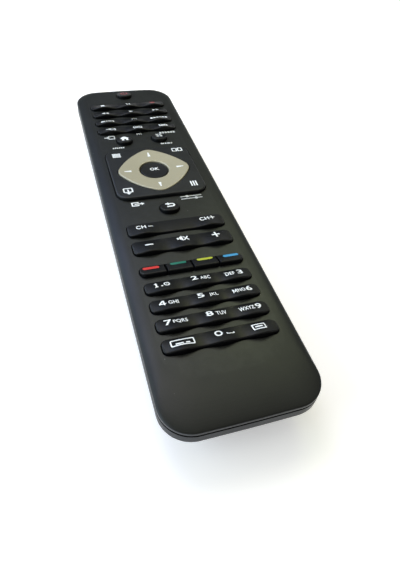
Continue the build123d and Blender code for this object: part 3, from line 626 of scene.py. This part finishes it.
spring_low, spring_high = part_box("contact_springs")
cell_middles = {side: (low + high) / 2 for side, (low, high) in cell_boxes.items()}
wound_spring("spring_left", cell_middles["left"], spring_low.y, 1)
wound_spring("spring_right", cell_middles["right"], spring_high.y, -1)

# %% [markdown]
# The signs on the keys are screen printed: thin flat ink, a little proud of the rubber, with crisp
# edges. A texture would blur; modelled ink stays sharp from any distance. Each sign is drawn flat
# from a few simple outlines, in millimetres round its own middle. A shape is a list of closed
# loops, and a loop inside another one cuts a hole.

# %% Flat shapes for the signs


def wedge(*points):
    """A shape with straight sides between the points."""
    return [list(points)]


def bar(x0, y0, x1, y1, width):
    """A straight stroke with square ends."""
    across = Vector((y1 - y0, x0 - x1)).normalized() * width / 2
    return [[(x0 + across.x, y0 + across.y), (x1 + across.x, y1 + across.y),
             (x1 - across.x, y1 - across.y), (x0 - across.x, y0 - across.y)]]


def arc(x, y, radius, start, stop, steps):
    """Points on a circle between two angles in degrees."""
    angles = [math.radians(start + (stop - start) * i / steps) for i in range(steps + 1)]
    return [(x + radius * math.cos(a), y + radius * math.sin(a)) for a in angles]


def disc(x, y, radius):
    """A filled round dot."""
    return [arc(x, y, radius, 0, 345, 23)]


def hoop(x, y, radius, width, start=0, stop=360):
    """A round stroke: closed for a full turn, otherwise a piece of a circle."""
    inner = arc(x, y, radius - width / 2, start, stop, 24)
    outer = arc(x, y, radius + width / 2, start, stop, 24)
    return [outer[:-1], inner[:-1]] if stop - start == 360 else [outer + inner[::-1]]


def box(x0, y0, x1, y1, corner=0.0):
    """A box, its corners rounded if asked."""
    if not corner:
        return wedge((x0, y0), (x1, y0), (x1, y1), (x0, y1))
    low_x, low_y, high_x, high_y = x0 + corner, y0 + corner, x1 - corner, y1 - corner
    return [arc(high_x, low_y, corner, -90, 0, 5) + arc(high_x, high_y, corner, 0, 90, 5)
            + arc(low_x, high_y, corner, 90, 180, 5) + arc(low_x, low_y, corner, 180, 270, 5)]


def frame_box(x0, y0, x1, y1, width, corner):
    """The outline of a rounded box, as a stroke."""
    hole = box(x0 + width, y0 + width, x1 - width, y1 - width, max(0.1, corner - width))
    return box(x0, y0, x1, y1, corner) + hole


print("a capsule takes", len(box(-3, -0.5, 3, 0.5, 0.45)[0]), "points")

# %% [markdown]
# Tape signs are the ones that every player and remote control shares: stop, pause, record, play,
# and wedges that point forward or back. With them go power, a house for home, four tiles, a bent
# arrow for back, plus, minus and a crossed-out loudspeaker.

# %% Signs that everybody knows
STOP = [box(-1.15, -1.1, 1.15, 1.1)]
PAUSE = [bar(x, -1.15, x, 1.15, 0.85) for x in (-0.75, 0.75)]
RECORD = [disc(0, 0, 1.15)]
PLAY = [wedge((-1.05, -1.3), (1.45, 0), (-1.05, 1.3))]
FORWARD = [wedge((-1.9, -1.2), (0.0, 0), (-1.9, 1.2)), wedge((0.1, -1.2), (2.0, 0), (0.1, 1.2))]
REWIND = [wedge((1.9, -1.2), (1.9, 1.2), (0.0, 0)), wedge((-0.1, -1.2), (-0.1, 1.2), (-2.0, 0))]
POWER = [hoop(0, 0, 1.45, 0.55, 125, 415), bar(0, 0.3, 0, 2.1, 0.55)]
HOME = [wedge((-2.2, -0.1), (-1.55, -0.1), (-1.55, -2.0), (-0.5, -2.0), (-0.5, -0.8), (0.5, -0.8),
              (0.5, -2.0), (1.55, -2.0), (1.55, -0.1), (2.2, -0.1), (1.1, 1.1), (0.55, 1.6),
              (0, 1.8), (-0.55, 1.6), (-1.1, 1.1))]
TILES = [box(x, y, x + 1.2, y + 1.2, 0.2) for x in (-1.4, 0.2) for y in (-1.4, 0.2)]
BACK = [wedge((-2.1, 0.85), (-0.3, 2.1), (-0.3, 1.25), (0.7, 1.25), (0.7, 0.45), (-0.3, 0.45),
              (-0.3, -0.4)),
        hoop(0.7, -0.25, 1.1, 0.8, -90, 90), bar(-1.6, -1.35, 0.7, -1.35, 0.8)]
MINUS = [box(-1.5, -0.28, 1.5, 0.28)]
PLUS = [wedge((-1.6, -0.33), (-0.35, -0.33), (-0.35, -1.6), (0.35, -1.6), (0.35, -0.33),
              (1.6, -0.33), (1.6, 0.33), (0.35, 0.33), (0.35, 1.6), (-0.35, 1.6), (-0.35, 0.33),
              (-1.6, 0.33))]
MUTE = [box(-2.3, -0.55, -1.55, 0.55),
        wedge((-1.35, -0.55), (-0.1, -1.6), (-0.1, 1.6), (-1.35, 0.55)),
        bar(0.25, -1.2, 2.1, 0.95, 0.5), bar(0.25, 0.95, 0.95, 0.14, 0.5),
        bar(1.4, -0.38, 2.1, -1.2, 0.5)]
print("a home sign takes", len(HOME[0][0]), "points")

# %% [markdown]
# The function and input rows, the lowest strip and the case carry plain pictures: a doorway,
# sliders, a caption box, a page, a socket, screens and rows of marks. The four corners of the
# navigation plate get a block of lines, a book, a screen and three level bars.

# %% Plain pictures
LINES = [bar(-1.85, y, 1.85, y, 0.6) for y in (-1.29, -0.43, 0.43, 1.29)]
BOOK = [frame_box(x, -1.5, x + 2.4, 1.5, 0.5, 0.5) for x in (-2.5, 0.1)]
SCREEN = [frame_box(-1.95, -1.1, 1.95, 2.0, 0.55, 0.6), bar(0, -1.7, 0, 1.0, 0.6),
          wedge((-1.0, -1.3), (0, -2.4), (1.0, -1.3))]
LEVELS = [bar(x, -1.8, x, 1.8, 0.62) for x in (-1.1, 0, 1.1)]
DOORWAY = [wedge((0.9, -1.25), (-2.2, -1.25), (-2.2, 1.25), (0.9, 1.25), (0.9, 0.6), (0.35, 0.6),
                 (0.35, 0.75), (-1.6, 0.75), (-1.6, -0.75), (0.35, -0.75), (0.35, -0.6),
                 (0.9, -0.6)),
           bar(-0.9, 0, 2.2, 0, 0.55), wedge((1.9, -0.85), (3.2, 0), (1.9, 0.85))]
SLIDERS = [bar(-4.4, -0.75, 4.4, -0.75, 0.42), bar(-4.4, 0.75, 4.4, 0.75, 0.42),
           disc(-1.6, 0.75, 0.7), disc(1.9, -0.75, 0.7)]
CAPTION = [frame_box(-3.7, -1.35, 3.7, 1.35, 0.42, 0.5), bar(-2.2, -0.45, 0.2, -0.45, 0.55),
           bar(0.9, -0.45, 2.2, -0.45, 0.55)]
PAGE = [frame_box(-2.3, -1.35, 2.3, 1.35, 0.42, 0.35), bar(-1.3, 0, 1.3, 0, 0.62)]
SOCKET = [frame_box(-0.6, -1.25, 2.9, 1.25, 0.5, 0.5), bar(-2.6, 0, -0.9, 0, 0.6),
          wedge((-1.2, -0.85), (0.6, 0), (-1.2, 0.85))]
BANNER = [frame_box(-2.6, -1.3, 2.6, 1.3, 0.5, 0.7), bar(-1.5, 0, 1.5, 0, 0.6)]
WIDE = [frame_box(-2.4, -1.25, 2.4, 1.25, 0.5, 0.3), box(-1.3, -0.55, 1.3, 0.55)]
DASHES = [bar(-3.1, 0, -1.3, 0, 0.8), disc(-0.6, 0, 0.46), bar(0.1, 0, 1.7, 0, 0.8),
          disc(2.4, 0, 0.46)]
TICKS = [bar(-1.6, 0.35, 1.6, 0.35, 0.35)] + [bar(x, -0.75, x, 0.1, 0.35) for x in (-1.2, 0, 1.2)]
STRIP = [box(x, -0.6, x + 1.2, 0.6, 0.2) for x in (-4.4, -2.9, -1.4, 0.1, 1.6, 3.1)]
print("a strip has", len(STRIP), "marks")

# %% [markdown]
# Laying ink on a key means three things: fill the outlines, cut the fill into small pieces so
# that it can bend over the key's crown and lobes, and let every point fall straight down onto
# the solid underneath. Curves do the filling: a flat curve turned into a mesh comes filled, and
# so does type, made bold by an offset and then stretched to a height and a width.

# %% Flat fills


def filled(kind, write):
    """A filled flat mesh from a curve of the kind, in millimetres; write fills in the curve."""
    curve = bpy.data.curves.new("sign", kind)
    write(curve)
    holder = bpy.data.objects.new("sign", curve)
    mesh = bpy.data.meshes.new_from_object(holder)
    bpy.data.objects.remove(holder)
    return mesh


def shape_mesh(loops):
    """The fill of one shape."""
    def write(curve):
        curve.dimensions = "2D"
        curve.fill_mode = "BOTH"
        for loop in loops:
            line = curve.splines.new("POLY")
            line.points.add(len(loop) - 1)
            line.use_cyclic_u = True
            for point, (x, y) in zip(line.points, loop):
                point.co = (x, y, 0, 1)
    return filled("CURVE", write)


def type_mesh(words, height, width, bold):
    """Letters centred in a height and a width, made bolder by an offset."""
    def write(curve):
        curve.body = words
        curve.align_x = "CENTER"
        curve.align_y = "CENTER"
        curve.offset = bold
        curve.resolution_u = 5
        curve.space_character = 1.06
    mesh = filled("FONT", write)
    for axis, reach in ((0, width), (1, height)):
        places = [v.co[axis] for v in mesh.vertices]
        low, high = min(places), max(places)
        for vertex in mesh.vertices:
            vertex.co[axis] = (vertex.co[axis] - (low + high) / 2) / (high - low) * reach
    return mesh


print("a letter A has", len(type_mesh("A", 2, 2, 0.02).polygons), "faces")

# %% [markdown]
# The fills of one print are gathered on one flat sheet, which is cut along both axes and then
# dropped. A search tree of the node's own faces answers where each point of the ink lands. INK
# is how far the print stands proud, CUT how small the fill is cut, and SNAP how near to a cut a
# point counts as lying on it.

# %% Sheet of ink
INK = 0.05
CUT = 0.45
SNAP = 1e-4


def flat_sign(sheet, mesh, x, y, size=1.0, turn_by=0.0, tall=1.0):
    """Adds a flat mesh to the sheet, at a place in millimetres; tall stretches it along the case."""
    before = len(sheet.verts)
    sheet.from_mesh(mesh)
    sheet.verts.ensure_lookup_table()
    spin = Matrix.Rotation(math.radians(turn_by), 3, "Z")
    for vertex in sheet.verts[before:]:
        vertex.co = spin @ (vertex.co * size)
        vertex.co = (vertex.co.x + x, vertex.co.y * tall + y, 0)


def cut_fine(sheet):
    """Cuts a flat sheet along both axes, at every step of CUT."""
    for axis in (0, 1):
        low = min(v.co[axis] for v in sheet.verts)
        high = max(v.co[axis] for v in sheet.verts)
        for step in range(1, math.ceil((high - low) / CUT)):
            at, way = Vector((0, 0, 0)), Vector((0, 0, 0))
            at[axis], way[axis] = low + step * CUT, 1
            parts = sheet.verts[:] + sheet.edges[:] + sheet.faces[:]
            bmesh.ops.bisect_plane(sheet, geom=parts, plane_co=at, plane_no=way, dist=SNAP)


def lay_on(sheet, solid):
    """Drops a flat sheet onto a solid's mesh, in metres; returns how many points missed it."""
    tree = BVHTree.FromPolygons([v.co for v in solid.vertices], [p.vertices for p in solid.polygons])
    top = max(v.co.z for v in solid.vertices)
    missed = 0
    for vertex in sheet.verts:
        x, y = vertex.co.x * MM, vertex.co.y * MM
        hit = tree.ray_cast(Vector((x, y, 1)), Vector((0, 0, -1)))[0]
        missed += hit is None
        vertex.co = (x, y, (hit.z if hit else top) + INK * MM)
    bmesh.ops.recalc_face_normals(sheet, faces=sheet.faces)
    if sum(f.normal.z for f in sheet.faces) < 0:
        bmesh.ops.reverse_faces(sheet, faces=sheet.faces)
    return missed


print("ink stands", INK, "mm proud, in pieces up to", CUT, "mm")

# %% [markdown]
# The press puts these steps together. Signs of one colour on one key are printed as one piece,
# which rides on the key's own body and so moves with the key.

# %% Printing press


def press(name, node, body, colour, signs, tall=1.0):
    """Prints signs on a node. A sign is (shapes, x, y, size, turn) or (words, x, y, height, width, bold)."""
    sheet = bmesh.new()
    for sign in signs:
        if isinstance(sign[0], str):
            words, x, y, height, width, bold = sign
            flat_sign(sheet, type_mesh(words, height, width, bold), x, y)
        else:
            shapes, x, y, size, turn_by = sign
            for loops in shapes:
                flat_sign(sheet, shape_mesh(loops), x, y, size, turn_by, tall)
    cut_fine(sheet)
    missed = lay_on(sheet, nodes[node].data)
    mesh = bpy.data.meshes.new(name)
    sheet.to_mesh(mesh)
    sheet.free()
    mesh.materials.append(inks[colour])
    piece = bpy.data.objects.new(name, mesh)
    scene.collection.objects.link(piece)
    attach(piece, body)
    print(name, "faces:", len(mesh.polygons), "points off the piece:", missed)


print("press ready for", len(inks), "inks")

# %% [markdown]
# The number rows come first. Their figures are bold and wide; the letter groups beside them are
# smaller and lighter. Rows run from the colour keys down to the near end. The offset that makes
# type bold spoils a 4 and an M, so these two are drawn from listed points, and so is a narrow 1.

# %% Number keys
FIGURE_HEIGHT, FIGURE_BOLD = 2.65, 0.022
LETTER_HEIGHT, LETTER_BOLD = 1.95, 0.02


def figure(word, x, y, width):
    """A bold number at a place, for the press."""
    return word, x, y, FIGURE_HEIGHT, width, FIGURE_BOLD


def letters(word, x, y, width):
    """A lighter group of letters at a place, for the press."""
    return word, x, y, LETTER_HEIGHT, width, LETTER_BOLD


ONE = [wedge((-0.55, -1.3), (0.65, -1.3), (0.65, -0.9), (0.35, -0.9), (0.35, 1.3), (-0.1, 1.3),
             (-0.6, 0.95), (-0.6, 0.45), (-0.25, 0.6), (-0.25, -0.9), (-0.55, -0.9))]
FOUR = [wedge((0.2, -1.3), (0.75, -1.3), (0.75, -0.75), (1.15, -0.75), (1.15, -0.3), (0.75, -0.3),
              (0.75, 1.3), (0.05, 1.3), (-1.2, -0.25), (-1.2, -0.75), (0.2, -0.75))
        + wedge((0.2, -0.3), (0.2, 0.6), (-0.55, -0.3))]
LETTER_M = [wedge((-1.0, -1.27), (-1.0, 1.27), (-0.5, 1.27), (0, -0.1), (0.5, 1.27), (1.0, 1.27),
                  (1.0, -1.27), (0.6, -1.27), (0.6, 0.4), (0.17, -0.8), (-0.17, -0.8), (-0.6, 0.4),
                  (-0.6, -1.27))]
POINT = [disc(0, 0, 0.36)]
ROUND_SIGN = [hoop(0, 0, 0.98, 0.5), disc(0, 0, 0.24)]
ROWS = {
    "digits_1_2_3": [(ONE, -15.1, -48.2, 0.95, 0), (POINT, -13.2, -49.1, 1.0, 0),
                     (ROUND_SIGN, -11.4, -48.2, 0.9, 0), figure("2", -1.4, -47.4, 2.2),
                     letters("ABC", 2.4, -48.0, 3.7), letters("DEF", 11.4, -48.4, 3.4),
                     figure("3", 15.2, -48.2, 2.1)],
    "digits_4_5_6": [(FOUR, -14.9, -56.3, 1.0, 0), letters("GHI", -11.2, -56.5, 3.5),
                     figure("5", -1.6, -55.7, 2.4), letters("JKL", 2.9, -56.2, 3.2),
                     (LETTER_M, 10.35, -56.6, 0.77, 0), letters("NO", 12.7, -56.6, 2.7),
                     figure("6", 15.5, -56.3, 2.2)],
    "digits_7_8_9": [figure("7", -15.0, -64.3, 2.5), letters("PQRS", -11.0, -64.6, 4.8),
                     figure("8", -1.1, -63.9, 2.4), letters("TUV", 2.8, -64.4, 3.6),
                     letters("WXYZ", 11.6, -64.7, 5.4), figure("9", 15.8, -64.5, 2.2)],
}
for key, signs in ROWS.items():
    press(f"{key}_print", f"{key}_key", f"{key}_key", "white", signs)

# %% [markdown]
# The lowest strip has the zero, set as a round capital letter, with the open box of a space bar
# beside it. A caption box and a page stand at its ends.

# %% Lowest strip
ZERO = ("O", -0.8, -72.2, FIGURE_HEIGHT, 2.6, 0.03)
SPACE_MARK = [bar(-1.3, -0.9, 1.3, -0.9, 0.3)] + [bar(x, -0.9, x, -0.35, 0.3) for x in (-1.15, 1.15)]
press("digit_0_print", "digit_0_key", "digit_0_key", "white",
      [(CAPTION, -12.6, -72.7, 1.05, 0), ZERO, (SPACE_MARK, 3.0, -72.1, 1.0, 0),
       (PAGE, 12.7, -72.7, 1.0, 0)])

# %% [markdown]
# The channel key rocks, so its two ends carry the same letters with minus and plus. The volume
# strip has minus, mute and plus. Each colour key carries one bar of its colour near its far
# edge, with round ends.

# %% Channel, volume and colour keys
CHANNEL_HEIGHT, CHANNEL_WIDTH, CHANNEL_BOLD = 2.6, 3.8, 0.022


def channel_letters(x, y):
    """The pair of letters at one end of the channel key."""
    return "CH", x, y, CHANNEL_HEIGHT, CHANNEL_WIDTH, CHANNEL_BOLD


press("channel_print", "channel_key", "channel_key", "white",
      [channel_letters(-13.8, -17.6), (MINUS, -10.1, -17.4, 0.62, 0),
       channel_letters(11.6, -17.3), (PLUS, 14.9, -17.0, 0.66, 0)], 1.2)
press("volume_print", "volume_key", "volume_key", "white",
      [(MINUS, -12.9, -27.9, 1.02, 0), (MUTE, 0.25, -26.7, 1.0, 0), (PLUS, 13.1, -27.4, 0.98, 0)], 1.25)
COLOUR_BAR = [box(-3.05, -0.8, 3.05, 0.8, 0.72)]
COLOUR_PLACES = {"red": (-14.9, -39.5), "green": (-4.9, -38.9), "yellow": (5.1, -38.9),
                 "blue": (14.9, -39.3)}
for colour, (x, y) in COLOUR_PLACES.items():
    press(f"{colour}_print", f"{colour}_key", f"{colour}_key", colour, [(COLOUR_BAR, x, y, 0.97, 0)])

# %% [markdown]
# The far rows are small in the portrait, yet other views come close to them, so they get the
# same care: tape signs on two rows, plain pictures on the next two, and one dull red sign each
# for power and record. They are stretched along the case, to read at a flat angle.

# %% Far rows and single keys
FAR_TALL = 1.75
press("power_print", "power_key", "power_key", "dull_red", [(POWER, 0.3, 93.6, 1.15, 0)])
press("stop_pause_print", "stop_pause_record_key", "stop_pause_record_key", "white",
      [(STOP, -13.1, 80.3, 0.85, 0), (PAUSE, 0.3, 81.4, 0.88, 0)], FAR_TALL)
press("record_print", "stop_pause_record_key", "stop_pause_record_key", "dull_red",
      [(RECORD, 13.1, 81.2, 1.15, 0)], FAR_TALL)
press("rewind_play_forward_print", "rewind_play_forward_key", "rewind_play_forward_key", "white",
      [(REWIND, -13.1, 72.3, 0.9, 0), (PLAY, 0.2, 73.2, 0.85, 0), (FORWARD, 13.1, 73.1, 0.9, 0)],
      FAR_TALL)
press("function_row_print", "function_row_key", "function_row_key", "white",
      [(DASHES, -13.0, 64.4, 1.1, 0), (TICKS, 0.3, 65.6, 0.9, 0), (STRIP, 13.0, 65.3, 1.0, 0)],
      FAR_TALL)
press("input_row_print", "input_row_key", "input_row_key", "white",
      [(SOCKET, -13.0, 56.5, 0.85, 0), (BANNER, 0.3, 57.0, 0.85, 0), (WIDE, 13.2, 57.1, 0.85, 0)],
      FAR_TALL)
press("home_print", "home_key", "home_key", "white", [(HOME, -7.9, 47.7, 1.0, 0)], 1.3)
press("app_print", "app_key", "app_key", "grey", [(TILES, 8.9, 48.1, 1.0, 0)], 1.35)
press("back_print", "back_key", "back_key", "white", [(BACK, 0.6, -6.0, 0.93, 0)], 1.1)

# %% [markdown]
# The ring carries four short ticks that widen towards the middle: one shape, turned by quarters
# round the ring's centre. The plate has a picture in each corner, and the case has a few more,
# in white and grey.

# %% Navigation block and case
TICK = [wedge((10.1, -0.65), (13.2, -0.22), (13.2, 0.22), (10.1, 0.65))]
NAV_MIDDLE = (0, 19.6)
press("ring_print", "direction_ring", "direction_ring", "white",
      [(TICK, *NAV_MIDDLE, 1.0, quarter) for quarter in (0, 90, 180, 270)])
press("ok_print", "ok_key", "ok_key", "white", [("OK", 0.35, 20.6, 2.0, 4.0, 0.03)])
press("plate_print", "nav_plate", "nav_plate", "white",
      [(LINES, -14.2, 34.0, 1.0, 0), (BOOK, 14.3, 34.6, 1.0, 0), (SCREEN, -14.2, 5.6, 1.05, 0),
       (LEVELS, 14.2, 6.0, 1.0, 0)])
press("leave_print", "upper_case", "case", "white", [(DOORWAY, -12.2, -1.9, 1.0, 0)])
press("case_print", "upper_case", "case", "grey", [(SLIDERS, 11.0, -1.4, 1.05, 0)])
press("caption_print", "upper_case", "case", "grey",
      [(STRIP, -11.9, 41.3, 0.62, 0), (DASHES, 11.3, 41.8, 0.95, 0),
       (SOCKET, -14.6, 50.9, 0.9, 0), (TICKS, 0.0, 52.3, 0.8, 0), (STRIP, 14.0, 51.8, 0.9, 0)], 1.4)

# %% [markdown]
# Nothing more is added. Ink and wire stay inside the solid pieces' box.

# %% Finish
print("scene ready")
